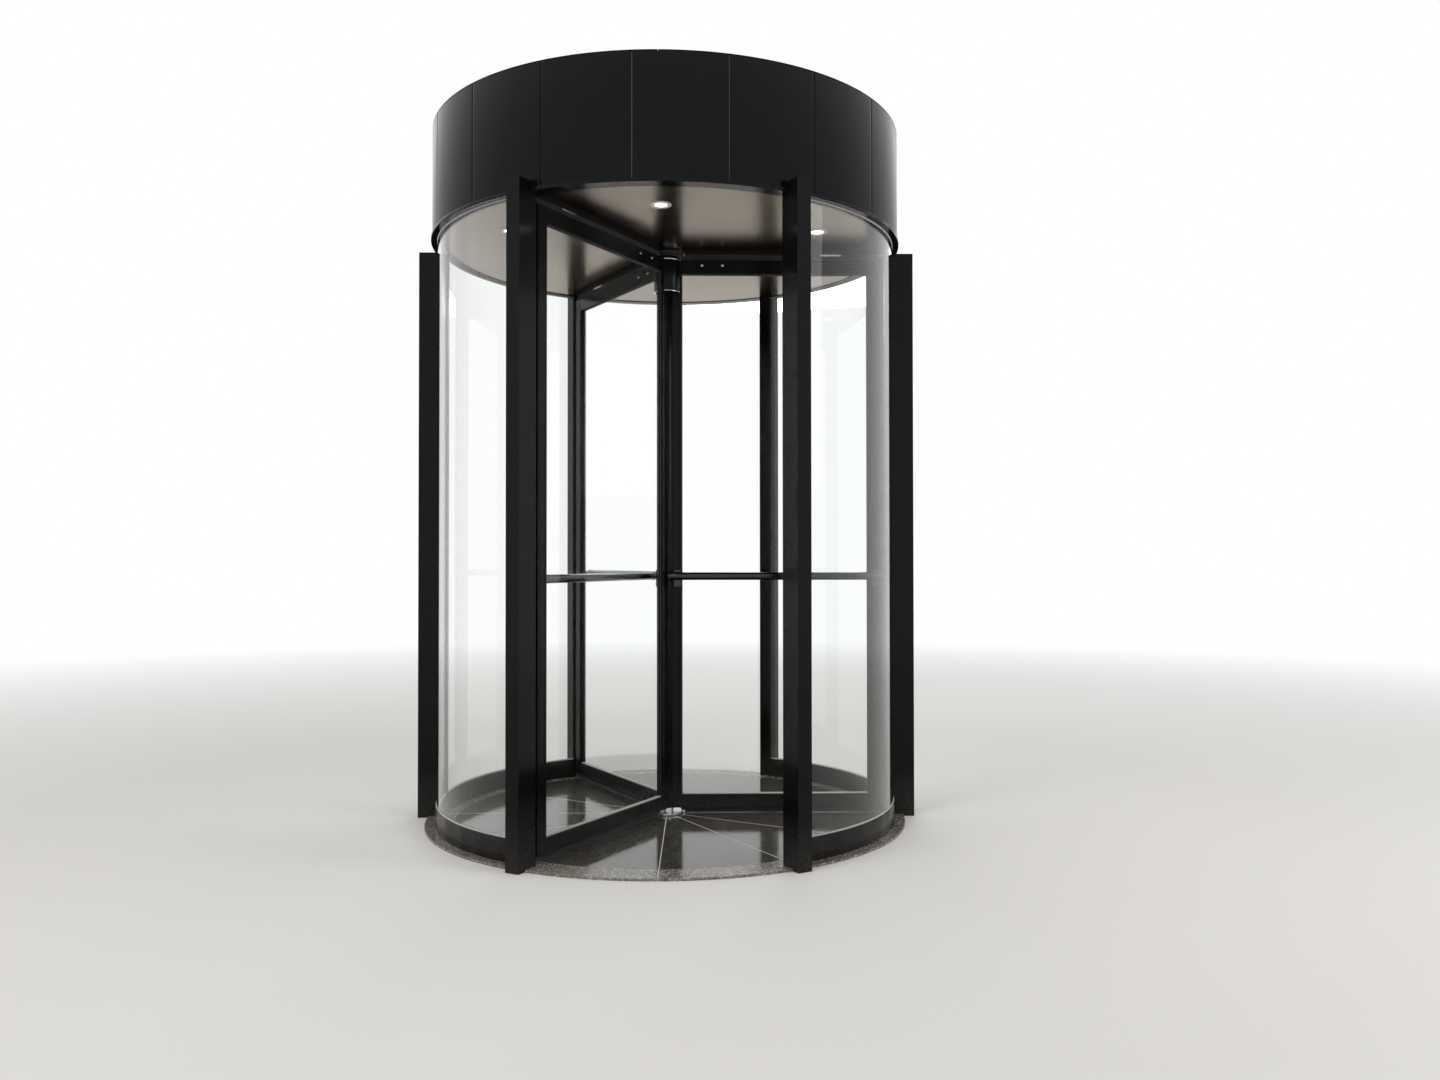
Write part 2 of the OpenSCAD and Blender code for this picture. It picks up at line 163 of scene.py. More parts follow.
def colour(name, description, default):
    return FloatVectorProperty(name=name, description=description, default=default, subtype="COLOR", size=3,
                               min=0.0, max=1.0)


class DoorSizes(bpy.types.PropertyGroup):
    edge: length("Edge radius", "Rounding of the edges of the metal frames", 0.0009)
    panel_edge: length("Panel edge", "Rounding of the edges of the canopy panels", 0.0012)
    stone_edge: length("Stone edge", "Rounding of the edges of the stone", 0.0006)
    joint_drop: length("Joint drop", "How far the joint filler lies below the face of the stone", 0.0002)
    sealant_and_highlight: length("Sealant bead", "Size of the sealant bead along the glass", 0.004)
    gasket_w: length("Gasket width", "Width of the rubber gasket along a wing's glass", 0.005)
    gasket_t: length("Gasket height", "How far a wing's gasket stands off the glass", 0.0045)
    bolt_r: length("Bolt radius", "Radius of the dome bolts in the wings", 0.0068)
    bolt_x: length("First bolt", "Distance of a wing's inner bolt from the door's axis", 0.165)
    bolt_gap: length("Bolt spacing", "Distance between a wing's two bolts", 0.096)
    screw_r: length("Screw radius", "Radius of the countersunk screws", 0.005)
    bristle_w: length("Bristle width", "Width of one tuft of bristles", 0.0031)
    bristle_step: length("Bristle pitch", "Distance between two tufts of a row", 0.0034)
    bristle_reach: length("Bristle reach", "How far the loose bristle ends pass the solid strip", 0.0042)
    strip_w: length("Joint strip", "Width of the metal strip behind a fascia joint", 0.014)
    roof_core: length("Roof centre", "Radius of the round sheet in the middle of the roof", 0.24)
    roof_gap: length("Roof joint", "Width of the joint between two sheets of the roof", 0.0025)
    cover_lip: length("Cover lip", "Thickness of the skin on the ceiling's cover plate", 0.0015)
    cover_bore: length("Cover bore", "Radius of the hole for the shaft in the cover plate", 0.034)
    cover_screw: length("Cover screws", "Radius of the circle of the cover plate's screws", 0.056)
    spindle_play: length("Spindle play", "Play between the shaft's ends and what they turn in", 0.00025)
    rim_w: length("Downlight rim", "Width of a downlight's rim", 0.0175)
    lens_drop: length("Lens recess", "How far a downlight's lens lies above its rim", 0.0012)


class DoorColours(bpy.types.PropertyGroup):
    coat: colour("Frame coat", "Gloss black coat of the posts, rails and wings", (0.0032, 0.0032, 0.0034))
    panel: colour("Canopy panel", "High-gloss black of the canopy panels", (0.0026, 0.0026, 0.003))
    dust: colour("Dust", "Veil of dust low on the frames", (0.24, 0.22, 0.2))
    mirror: colour("Ceiling sheet", "Polished sheet under the canopy", (0.2, 0.15, 0.103))
    glass: colour("Glass", "Body tint of the clear glass", (0.984, 0.994, 0.988))
    glass_edge: colour("Glass edge", "Tint where the glass is seen through its edge", (0.16, 0.42, 0.34))
    glass_shade: colour("Glass shade", "Tint of the light that falls through the glass", (0.93, 0.96, 0.95))
    chrome: colour("Black chrome", "Black chrome of the push bars", (0.05, 0.05, 0.053))
    strip: colour("Joint strip", "Dark anodised strips behind the fascia joints", (0.12, 0.103, 0.088))
    bolt: colour("Bolt steel", "Polished steel of bolts and screws", (0.62, 0.62, 0.61))
    satin: colour("Satin steel", "Satin steel of the floor pivot", (0.56, 0.55, 0.53))
    primer: colour("Primer", "Grey primer of the beams", (0.18, 0.19, 0.2))
    bristle: colour("Bristles", "Dense black bristles", (0.011, 0.011, 0.012))
    rubber: colour("Rubber", "Black rubber of gaskets, seal and cover plate", (0.018, 0.018, 0.018))
    # Pale grey sealant; its paleness is partly a painted highlight along the tops of the base rails and the
    # wings' bottom rails.
    sealant_and_highlight: colour("Sealant", "Translucent grey sealant", (0.42, 0.42, 0.4))
    stone_dark: colour("Dark granite", "Ground of the floor slabs", (0.053, 0.047, 0.041))
    stone_grain: colour("Granite grain", "Paler grains in the floor slabs", (0.18, 0.165, 0.145))
    border: colour("Border granite", "Ground of the speckled border", (0.17, 0.152, 0.13))
    border_grain: colour("Border grain", "Pale crystals in the border", (0.44, 0.4, 0.35))
    filler: colour("Joint filler", "Pale filler in the stone joints", (0.62, 0.60, 0.56))
    lamp: colour("Lamp light", "Light of the downlights", (1.0, 0.91, 0.78))
    enamel: colour("Rim enamel", "Pale enamel of the downlight rims", (0.72, 0.71, 0.68))
    reflector: colour("Reflector", "Bright reflectors of the downlights", (0.86, 0.84, 0.8))


class StudioSettings(bpy.types.PropertyGroup):
    floor: colour("Studio floor", "Plain floor round the door", (0.78, 0.76, 0.73))
    world_light: FloatProperty(name="World light", description="Strength of the even light on the door",
                               default=0.62, min=0.0)
    key_light: power("Key light", "Power of the large light in front of the door", 110.0)
    side_light: power("Side light", "Power of the light beside the door", 60.0)
    back_light: power("Back light", "Power of the light behind the door", 60.0)
    lens: FloatProperty(name="Lens", description="Focal length of the camera", default=28.676, min=1.0,
                        subtype="DISTANCE_CAMERA", unit="CAMERA")
    eye: FloatVectorProperty(name="Eye point", description="Place of the camera", size=3,
                             default=(0.1725, -5.3973, 1.2158), subtype="TRANSLATION", unit="LENGTH")
    heading: angle("Heading", "Turn of the camera to the right of straight ahead", 0.817)
    pitch: angle("Pitch", "Rise of the camera's view", 0.7615)
    roll: angle("Roll", "Tilt of the camera about its view", -0.048)


def sizes():
    return bpy.context.scene.door_sizes


def colours():
    return bpy.context.scene.door_colours


def shade(tint, factor):
    """A colour made darker or paler."""
    return tuple(min(1.0, c * factor) for c in tint)


# Node helpers

class Nodes:
    """Adds nodes to a tree and wires them."""

    def __init__(self, tree):
        self.tree = tree

    def feed(self, socket, value):
        """Links a socket, or sets it to a value that is the same everywhere."""
        if isinstance(value, bpy.types.NodeSocket):
            self.tree.links.new(value, socket)
        elif value is not None:
            socket.default_value = (*value, 1.0) if socket.type == "RGBA" else value

    def add(self, kind, inputs=None, **settings):
        node = self.tree.nodes.new("ShaderNode" + kind)
        for key, value in settings.items():
            setattr(node, key, value)
        for key, value in (inputs or {}).items():
            self.feed(node.inputs[key], value)
        return node

    def maths(self, operation, *values):
        node = self.add("Math", dict(enumerate(values)), operation=operation)
        return node.outputs[0]

    def vector(self, operation, *values):
        node = self.add("VectorMath", dict(enumerate(values)), operation=operation)
        return node.outputs["Value" if operation in ("DOT_PRODUCT", "LENGTH") else "Vector"]

    def mix(self, factor, first, second, blend="MIX"):
        """Mixes two colours; a colour mix has its sockets at 0, 6 and 7."""
        node = self.add("Mix", None, data_type="RGBA", blend_type=blend)
        for index, value in ((0, factor), (6, first), (7, second)):
            self.feed(node.inputs[index], value)
        return node.outputs[2]

    def spread(self, value, low, high, to_low=0.0, to_high=1.0):
        return self.add("MapRange", {"Value": value, "From Min": low, "From Max": high, "To Min": to_low,
                                     "To Max": to_high}).outputs["Result"]

    def coords(self):
        return self.add("TexCoord").outputs["Object"]

    def place(self, scale=(1, 1, 1)):
        return self.add("Mapping", {"Vector": self.coords(), "Scale": scale}).outputs["Vector"]

    def from_axis(self):
        """Where a point lies seen from above, counted from the door's axis."""
        return self.vector("MULTIPLY", self.coords(), (1, 1, 0))

    def axes(self, vector):
        return self.add("SeparateXYZ", {"Vector": vector}).outputs

    def noise(self, scale, detail=3.0, vector=None, roughness=0.5):
        return self.add("TexNoise", {"Vector": vector or self.place(), "Scale": scale, "Detail": detail,
                                     "Roughness": roughness}).outputs["Fac"]

    def bump(self, height, distance, strength=1.0, normal=None):
        return self.add("Bump", {"Height": height, "Distance": distance, "Strength": strength,
                                 "Normal": normal}).outputs["Normal"]


class Finish(Nodes):
    """A new material, with its shader."""

    def __init__(self, name):
        self.material = bpy.data.materials.new(name)
        self.material.use_nodes = True
        super().__init__(self.material.node_tree)
        self.shader = self.tree.nodes["Principled BSDF"]

    def set(self, **values):
        """Feeds the shader's sockets, named with _ for a space."""
        for key, value in values.items():
            self.feed(self.shader.inputs[key.replace("_", " ")], value)

    def blend_with(self, factor, other):
        """Blends from the material's own shader to another one."""
        both = self.add("MixShader", {0: factor, 1: self.shader.outputs[0], 2: other.outputs[0]})
        self.feed(self.tree.nodes["Material Output"].inputs["Surface"], both.outputs[0])


def wired(wire):
    """Makes a material named after the function that wires it, once, on its first use."""
    def made(*values):
        known = bpy.data.materials.get(wire.__name__)
        if known:
            return known
        new = Finish(wire.__name__)
        wire(new, *values)
        return new.material
    return made


# Finishes

def gloss(m, tint, roughness, ripple, ripple_scale, dust_height):
    """Gloss black: fine orange peel, cloudy gloss, a veil of dust up to a height."""
    clouds = m.noise(7.0, 4.0)
    peel = m.noise(700.0, 2.0)
    wave = m.noise(ripple_scale, 1.0)
    low = m.spread(m.axes(m.place())["Z"], dust_height, 0.0)
    veil = m.maths("MULTIPLY", low, m.maths("MULTIPLY", m.noise(60.0, 5.0), 0.16))
    base = m.mix(m.spread(clouds, 0.3, 0.7), tint, shade(tint, 1.35))
    m.set(Base_Color=m.mix(veil, base, colours().dust),
          Roughness=m.maths("ADD", m.spread(clouds, 0.3, 0.75, roughness, roughness + 0.05),
                            m.maths("MULTIPLY", veil, 1.2)),
          Normal=m.bump(wave, ripple, 1.0, m.bump(peel, 0.00001, 0.5)),
          Specular_IOR_Level=0.12)


@wired
def gloss_black_coat(m):
    gloss(m, colours().coat, 0.13, 0.00006, 9.0, 0.22)


@wired
def gloss_black_panel(m):
    gloss(m, colours().panel, 0.06, 0.00012, 2.0, 0.0)


def metal(m, tint, roughness, grain_scale, grain=(1, 1, 1), depth=0.00001, smudge=0.06):
    """Metal with a directional grain and faint smudges."""
    lines = m.noise(grain_scale, 2.0, m.place(grain))
    cloud = m.noise(14.0, 4.0)
    m.set(Base_Color=m.mix(cloud, shade(tint, 0.9), tint),
          Roughness=m.maths("ADD", m.spread(cloud, 0.35, 0.75, roughness, roughness + smudge),
                            m.spread(lines, 0.3, 0.7, 0.0, 0.03)),
          Normal=m.bump(lines, depth, 0.6),
          Metallic=1.0)


@wired
def polished_sheet(m):
    metal(m, colours().mirror, 0.19, 3.0, depth=0.00025, smudge=0.03)


@wired
def lamp_reflector(m):
    metal(m, colours().reflector, 0.2, 500.0)


@wired
def black_chrome(m):
    metal(m, colours().chrome, 0.07, 160.0, (0.05, 1, 1), 0.000004, 0.09)


@wired
def dark_anodised_strip(m):
    metal(m, colours().strip, 0.3, 300.0, (1, 1, 0.02), 0.00002, 0.1)


@wired
def bolt_steel(m):
    metal(m, colours().bolt, 0.16, 500.0)


@wired
def turned_steel(m):
    """Satin steel turned on a lathe: fine rings round the door's axis."""
    tint = colours().satin
    radius = m.vector("LENGTH", m.from_axis())
    rings = m.add("TexNoise", {"W": m.maths("MULTIPLY", radius, 900.0), "Scale": 1.0, "Detail": 2.0},
                  noise_dimensions="1D").outputs["Fac"]
    cloud = m.noise(30.0, 4.0)
    m.set(Base_Color=m.mix(cloud, shade(tint, 0.86), tint),
          Roughness=m.maths("ADD", m.spread(cloud, 0.3, 0.7, 0.24, 0.32),
                            m.spread(rings, 0.3, 0.7, 0.0, 0.06)),
          Normal=m.bump(rings, 0.00002, 0.6),
          Metallic=1.0)


def glass(m, edge):
    """Clear glass, tinted where an edge is seen, from 0 to 1. Light falls through it."""
    streak = m.noise(5.0, 4.0, m.place((1, 1, 0.35)))
    m.set(Base_Color=m.mix(edge, colours().glass, colours().glass_edge),
          Roughness=m.spread(streak, 0.55, 0.85, 0.0, 0.012),
          Transmission_Weight=1.0, IOR=1.33)
    clear = m.add("BsdfTransparent", {"Color": colours().glass_shade})
    m.blend_with(m.add("LightPath").outputs["Is Shadow Ray"], clear)


def outward(m, normal):
    """How squarely a surface faces the door's axis or away from it, from 0 to 1."""
    return m.maths("ABSOLUTE", m.vector("DOT_PRODUCT", normal, m.vector("NORMALIZE", m.from_axis())))


@wired
def curved_clear_glass(m):
    normal = m.add("NewGeometry").outputs["Normal"]
    glass(m, m.spread(outward(m, normal), 0.5, 0.4))


@wired
def wing_clear_glass(m):
    normal = m.add("VectorTransform", {"Vector": m.add("NewGeometry").outputs["Normal"]},
                   vector_type="NORMAL", convert_from="WORLD", convert_to="OBJECT").outputs["Vector"]
    upward = m.maths("ABSOLUTE", m.axes(normal)["Z"])
    glass(m, m.maths("MAXIMUM", m.spread(outward(m, normal), 0.7, 0.8), m.spread(upward, 0.7, 0.8)))


def granite(m, ground, grain, crystal, share, roughness, specular, slabs):
    """Polished granite: crystals, grains and clouds, with a tone of its own for each slab."""
    coords = m.place()
    cells = m.add("TexVoronoi", {"Vector": coords, "Scale": crystal}, feature="F1").outputs["Color"]
    tone = m.add("SeparateColor", {"Color": cells}).outputs["Red"]
    fine = m.add("TexVoronoi", {"Vector": coords, "Scale": crystal * 2.3}, feature="F1").outputs["Color"]
    fine_tone = m.add("SeparateColor", {"Color": fine}).outputs["Green"]
    clouds = m.noise(5.0, 5.0, coords, 0.6)
    pale = m.spread(tone, 1.0 - share, 1.0)
    small = m.spread(fine_tone, 0.72, 1.0, 0.0, 0.6)
    dark = m.spread(tone, 0.16, 0.02)
    turn = m.maths("ARCTAN2", m.axes(coords)["Y"], m.axes(coords)["X"])
    number = m.maths("FLOOR", m.maths("MULTIPLY", turn, slabs / FULL_TURN))
    own = m.add("TexWhiteNoise", {"W": number}, noise_dimensions="1D").outputs["Value"]
    base = m.mix(m.spread(clouds, 0.3, 0.7), shade(ground, 0.72), shade(ground, 1.3))
    base = m.mix(1.0, base, m.mix(own, (0.74, 0.74, 0.75), (1.22, 1.2, 1.17)), "MULTIPLY")
    base = m.mix(small, base, tuple((a + b) / 2 for a, b in zip(ground, grain)))
    base = m.mix(pale, base, grain)
    m.set(Base_Color=m.mix(dark, base, shade(ground, 0.3)),
          Roughness=m.maths("ADD", m.spread(clouds, 0.3, 0.7, roughness, roughness + 0.06),
                            m.maths("MULTIPLY", pale, 0.05)),
          Normal=m.bump(m.noise(160.0, 3.0, coords), 0.00001, 0.3),
          Specular_IOR_Level=specular)


@wired
def slab_granite(m, slabs):
    granite(m, colours().stone_dark, colours().stone_grain, 330.0, 0.22, 0.07, 0.34, slabs)


@wired
def border_granite(m, slabs):
    granite(m, colours().border, colours().border_grain, 170.0, 0.34, 0.2, 0.4, slabs)


def matt(m, tint, roughness, scale, depth, variation=0.25):
    """A matt or satin finish with mottled colour and a fine surface."""
    speck = m.noise(scale, 4.0)
    cloud = m.noise(11.0, 3.0)
    mottle = m.maths("MULTIPLY", m.maths("ADD", speck, cloud), 0.5)
    m.set(Base_Color=m.mix(mottle, shade(tint, 1 - variation), shade(tint, 1 + variation)),
          Roughness=m.spread(cloud, 0.3, 0.7, roughness, roughness + 0.12),
          Normal=m.bump(speck, depth, 0.6))


@wired
def black_rubber(m):
    matt(m, colours().rubber, 0.5, 420.0, 0.00004)


# Sealant beads along the glass; their pale grey is partly a painted highlight along the rail tops.
@wired
def grey_sealant_and_highlight(m):
    matt(m, colours().sealant_and_highlight, 0.3, 90.0, 0.00006, 0.12)


@wired
def joint_filler(m):
    matt(m, colours().filler, 0.6, 700.0, 0.00005, 0.14)


@wired
def grey_primer(m):
    matt(m, colours().primer, 0.5, 260.0, 0.00006)


@wired
def rim_enamel(m):
    matt(m, colours().enamel, 0.28, 500.0, 0.00001, 0.05)


@wired
def black_bristles(m):
    """Bristles: each tuft a little different, matt with a soft sheen."""
    tint = colours().bristle
    tuft = m.add("TexWhiteNoise", {"Vector": m.vector("SNAP", m.place(), (0.003, 0.003, 0.003))})
    hair = m.noise(900.0, 2.0, m.place((1, 1, 0.2)))
    m.set(Base_Color=m.mix(tuft.outputs["Value"], shade(tint, 0.6), shade(tint, 1.9)),
          Roughness=m.spread(hair, 0.3, 0.7, 0.6, 0.85),
          Normal=m.bump(hair, 0.0002, 0.8),
          Sheen_Weight=0.3)


@wired
def lamp_lens(m):
    """Frosted lens of a downlight, a little uneven in its light."""
    frost = m.noise(600.0, 3.0)
    m.set(Base_Color=m.mix(frost, (0.8, 0.78, 0.74), (0.9, 0.89, 0.86)),
          Roughness=m.spread(frost, 0.3, 0.7, 0.4, 0.6),
          Emission_Color=colours().lamp,
          Emission_Strength=m.spread(frost, 0.2, 0.8, 4.6, 5.4))


@wired
def studio_floor(m, tint):
    """Pale floor that fades to the white of the backdrop far from the door."""
    distance = m.vector("LENGTH", m.coords())
    m.set(Base_Color=tint, Roughness=0.75, Specular_IOR_Level=0.2)
    m.blend_with(m.spread(distance, 3.0, 11.0), m.add("Emission", {"Color": (1, 1, 1), "Strength": 1.0}))


# Mesh helpers

def turned(angle):
    return Matrix.Rotation(angle, 4, "Z")


def polar(radius, angle, height=0.0):
    return Vector((radius * math.cos(angle), radius * math.sin(angle), height))


def facing(centre, normal):
    """A place at a point, with its z axis along a normal."""
    turn = Vector(UP).rotation_difference(Vector(normal)).to_matrix().to_4x4()
    return Matrix.Translation(centre) @ turn


def block(near, far, low, high):
    """The rectangle between two radii and two heights, as a profile."""
    return [(near, low), (far, low), (far, high), (near, high)]


def outline(radius, height, *steps, up=1):
    """Points of a profile, each given in millimetres out from a radius and up from a height."""
    return [(radius + out * MM, height + up * rise * MM) for out, rise in steps]


def corner(radius, height, edge, up):
    """A rounded outer corner of a profile, from its flat face to its wall."""
    return [(radius - edge, height), (radius - edge * 0.3, height + up * edge * 0.3),
            (radius, height + up * edge)]


def paces(start, stop, step):
    """Even steps from a start, up to a stop."""
    while start < stop:
        yield start
        start += step


class Shape:
    """Collects simple solids in one mesh, each with a material slot of its own."""

    def __init__(self, *materials):
        self.mesh = bmesh.new()
        self.materials = materials

    def face(self, ring, slot=0):
        self.mesh.faces.new(ring).material_index = slot

    def skin(self, rings, slot=0):
        """Joins equal rings of vertices into a tube, and closes its two ends."""
        for first, second in zip(rings, rings[1:]):
            for i in range(len(first)):
                j = (i + 1) % len(first)
                self.face([first[i], second[i], second[j], first[j]], slot)
        self.face(rings[0][::-1], slot)
        self.face(rings[-1], slot)

    def box(self, low, high, place, slot=0):
        (x0, y0, z0), (x1, y1, z1) = low, high
        base = ((x0, y0), (x0, y1), (x1, y1), (x1, y0))
        self.skin([[self.mesh.verts.new(place @ Vector((x, y, z))) for x, y in base] for z in (z0, z1)], slot)

    def lathe(self, profile, place=Matrix(), steps=48, slot=0, closed=False):
        """Turns a profile of (radius, height) about the z axis of place."""
        rings = []
        for radius, height in profile:
            if radius < 1e-6:
                rings.append([self.mesh.verts.new(place @ Vector((0, 0, height)))] * steps)
            else:
                rings.append([self.mesh.verts.new(place @ polar(radius, FULL_TURN * k / steps, height))
                              for k in range(steps)])
        pairs = list(zip(rings, rings[1:]))
        if closed:
            pairs.append((rings[-1], rings[0]))
        for lower, upper in pairs:
            for k in range(steps):
                n = (k + 1) % steps
                ring = list(dict.fromkeys((lower[k], lower[n], upper[n], upper[k])))
                if len(ring) > 2:
                    self.face(ring, slot)

    def bend(self, profiles, slot=0):
        """Skins closed profiles of (radius, height), each at its own angle round the door's axis."""
        self.skin([[self.mesh.verts.new(polar(r, turn, z)) for r, z in profile]
                   for turn, profile in profiles], slot)

    def sweep(self, profile, start, end, steps, slot=0):
        """Carries a closed profile of (radius, height) round the door's axis from one angle to another."""
        self.bend([(start + (end - start) * k / steps, profile) for k in range(steps + 1)], slot)

    def curved_panel(self, inner, outer, low, high, start, end, edge, steps):
        """A panel bent round the door's axis, with its four outer edges rounded."""
        turn = edge / outer
        stops = [(start, 1.0), (start + turn * 0.3, 0.3), (start + turn, 0.0)]
        stops += [(start + turn + (end - start - 2 * turn) * k / steps, 0.0) for k in range(1, steps)]
        stops += [(end - turn, 0.0), (end - turn * 0.3, 0.3), (end, 1.0)]
        self.bend([(turn, [(inner, low), *corner(outer - edge * drop, low, edge, 1),
                           *reversed(corner(outer - edge * drop, high, edge, -1)), (inner, high)])
                   for turn, drop in stops])

    def roof_sheet(self, near, far, low, high, start, end, near_trim, far_trim, steps=24):
        """A flat sheet of a ring, cut back at both ends by its own angle at each radius."""
        rings = []
        for k in range(steps + 1):
            a, b = (start + trim + (end - start - 2 * trim) * k / steps for trim in (near_trim, far_trim))
            rings.append([self.mesh.verts.new(polar(radius, turn, z)) for radius, turn, z in
                          ((near, a, low), (far, b, low), (far, b, high), (near, a, high))])
        self.skin(rings)

    def bolt(self, centre, normal, radius, height, slot=0):
        """A dome-headed bolt with a socket."""
        profile = [(0.0, -0.4 * MM), (radius, -0.4 * MM), (radius, height * 0.25)]
        for k in range(1, 5):
            a = math.pi / 2 * k / 5
            profile.append((radius * (0.42 + 0.58 * math.cos(a)), height * (0.25 + 0.75 * math.sin(a))))
        profile += [(radius * 0.42, height), (radius * 0.4, height * 0.35), (0.0, height * 0.3)]
        self.lathe(profile, facing(centre, normal), 24, slot)

    def screw(self, centre, normal, radius, slot=0):
        """A countersunk screw, a hair proud of its face, with a socket."""
        self.lathe([(0.0, -0.4 * MM), (radius, -0.4 * MM), (radius, 0.2 * MM), (radius * 0.93, 0.5 * MM),
                    (radius * 0.5, 0.5 * MM), (radius * 0.45, -0.2 * MM), (0.0, -0.2 * MM)],
                   facing(centre, normal), 20, slot)

    def finish(self, name, body, record_slot, bevel=0.0, smooth=35.0, replaces=()):
        bmesh.ops.recalc_face_normals(self.mesh, faces=self.mesh.faces)
        mesh = bpy.data.meshes.new(name)
        self.mesh.to_mesh(mesh)
        self.mesh.free()
        for material in self.materials:
            mesh.materials.append(material)
        mesh.shade_smooth()
        mesh.set_sharp_from_angle(angle=math.radians(smooth))
        piece = bpy.data.objects.new(name, mesh)
        bpy.context.scene.collection.objects.link(piece)
        if bevel:
            round_edges(piece, bevel)
        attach(piece, body)
        if replaces:
            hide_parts(*replaces)


def round_edges(piece, width):
    modifier = piece.modifiers.new("round edges", "BEVEL")
    modifier.width = width
    modifier.segments = 2
    modifier.limit_method = "ANGLE"
    modifier.angle_limit = math.radians(40)
    modifier.use_clamp_overlap = True
    modifier.harden_normals = True
    modifier.miter_outer = "MITER_ARC"


def dress(names, material, bevel=0.0):
    """Gives CAD nodes their finish, and a small round on their edges."""
    for name in names:
        node = NODES[name]
        node.data.materials.clear()
        node.data.materials.append(material)
        if bevel:
            weld = node.modifiers.new("join faces", "WELD")
            weld.merge_threshold = 0.02 * MM
            round_edges(node, bevel)


def part(letter, name):
    return f"wing_{letter}_{name}"


def wing_frame(letter):
    """Sizes of a wing in its own frame, with x along the wing and y across it."""
    turn = node_angle(part(letter, "glass"))
    outer = across(part(letter, "outer_stile"), turn)
    bottom, sill = corners(part(letter, "bottom_rail"))
    head, top = corners(part(letter, "top_rail"))
    return SimpleNamespace(
        angle=turn, place=turned(turn),
        glass_y=across(part(letter, "glass"), turn)[3], frame_y=outer[3],
        inner_x=across(part(letter, "inner_stile"), turn)[1], outer_x=outer[0], tip_x=outer[1],
        bottom=bottom.z, sill=sill.z, head=head.z, top=top.z)


# Operators

class DOOR_OT_coat_frames(bpy.types.Operator):
    """Coats the posts, rails, canopy ring, collar and wing frames in gloss black"""

    bl_idname = "door.coat_frames"
    bl_label = "Coat the Frames"

    def execute(self, context):
        names = [n for n in NODES if n.startswith(("post_", "wall_post_", "base_rail_"))]
        names += ["canopy_ring", "shaft_collar"]
        names += [part(letter, name) for letter in WINGS
                  for name in ("top_rail", "bottom_rail", "outer_stile", "inner_stile")]
        dress(names, gloss_black_coat(), sizes().edge)
        return {"FINISHED"}


class DOOR_OT_lay_floor(bpy.types.Operator):
    """Gives the stone its granite, and lays the pale joints between the slabs"""

    bl_idname = "door.lay_floor"
    bl_label = "Lay the Floor"

    def execute(self, context):
        size = sizes()
        edge = size.stone_edge
        joints = open_joints("floor_disc")
        dress(["floor_disc"], slab_granite(len(joints)), edge)
        dress(["floor_border"], border_granite(len(joints)), edge)
        plate_r, disc_r = reach("floor_pivot")[1], reach("floor_disc")[1]
        border_in, border_out = reach("floor_border")
        post_r = reach("post_front_left")[0]
        through = [start for start, end in open_joints("floor_border")]
        low, high = corners("floor_disc")
        foot, face = low.z + HAIR, high.z - size.joint_drop
        under_plate, same_turn = 4 * MM, 0.01
        shape = Shape(joint_filler())
        for (start, end), following in with_next(joints):
            half = (end - start) * disc_r / 2 + edge
            rim = border_out if any(abs(start - other) < same_turn for other in through) else post_r
            shape.box((plate_r - under_plate, -half, foot), (rim - edge, half, face),
                      turned((start + end) / 2))
            shape.sweep(block(disc_r - edge, border_in + edge, foot, face), end, following, 20)
        shape.finish("floor_joints", DRUM, "grey_granite")
        return {"FINISHED"}


class DOOR_OT_finish_pivot(bpy.types.Operator):
    """Finishes the floor pivot's plate and the cover plate round the shaft under the ceiling"""

    bl_idname = "door.finish_pivot"
    bl_label = "Finish the Pivot Plates"

    def execute(self, context):
        size = sizes()
        dress(["floor_pivot"], turned_steel(), size.edge * 1.6)
        dress(["bearing_beam"], grey_primer())
        plate_r, stone = reach("floor_pivot")[1], corners("floor_disc")[1].z
        screw_in, skirt = 16 * MM, 5.8 * MM
        plate = Shape(bolt_steel(), black_rubber())
        for k in range(4):
            plate.screw(polar(plate_r - screw_in, math.radians(60 + 90 * k), plate_top()), UP, size.screw_r)
        plate.lathe(outline(plate_r, stone, (-0.5, -1), (2.8, 0), (2.2, 1.6), (-0.5, 3)), steps=96, slot=1,
                    closed=True)
        plate.finish("pivot_plate_screws", DRUM, "satin_steel")

        bore, lip = size.cover_bore, size.cover_lip
        under, cover_r = corners("bearing_beam")[0].z, cover_radius()
        cover = Shape(black_rubber(), bolt_steel())
        cover.lathe([(bore, under + HAIR), (bore, under - lip * 0.4), (bore + 2 * MM, under - lip),
                     (cover_r - 4 * MM, under - lip), (cover_r, under - lip * 0.4),
                     (cover_r + lip, under + lip), (cover_r + lip, under + skirt),
                     (cover_r - 2 * MM, under + skirt), (cover_r - 2 * MM, under + HAIR)],
                    steps=96, closed=True)
        for k in range(3):
            centre = polar(size.cover_screw, math.radians(30 + 120 * k), under - lip)
            cover.screw(centre, DOWN, size.screw_r, slot=1)
        cover.finish("ceiling_cover_plate", DRUM, "satin_steel")
        return {"FINISHED"}


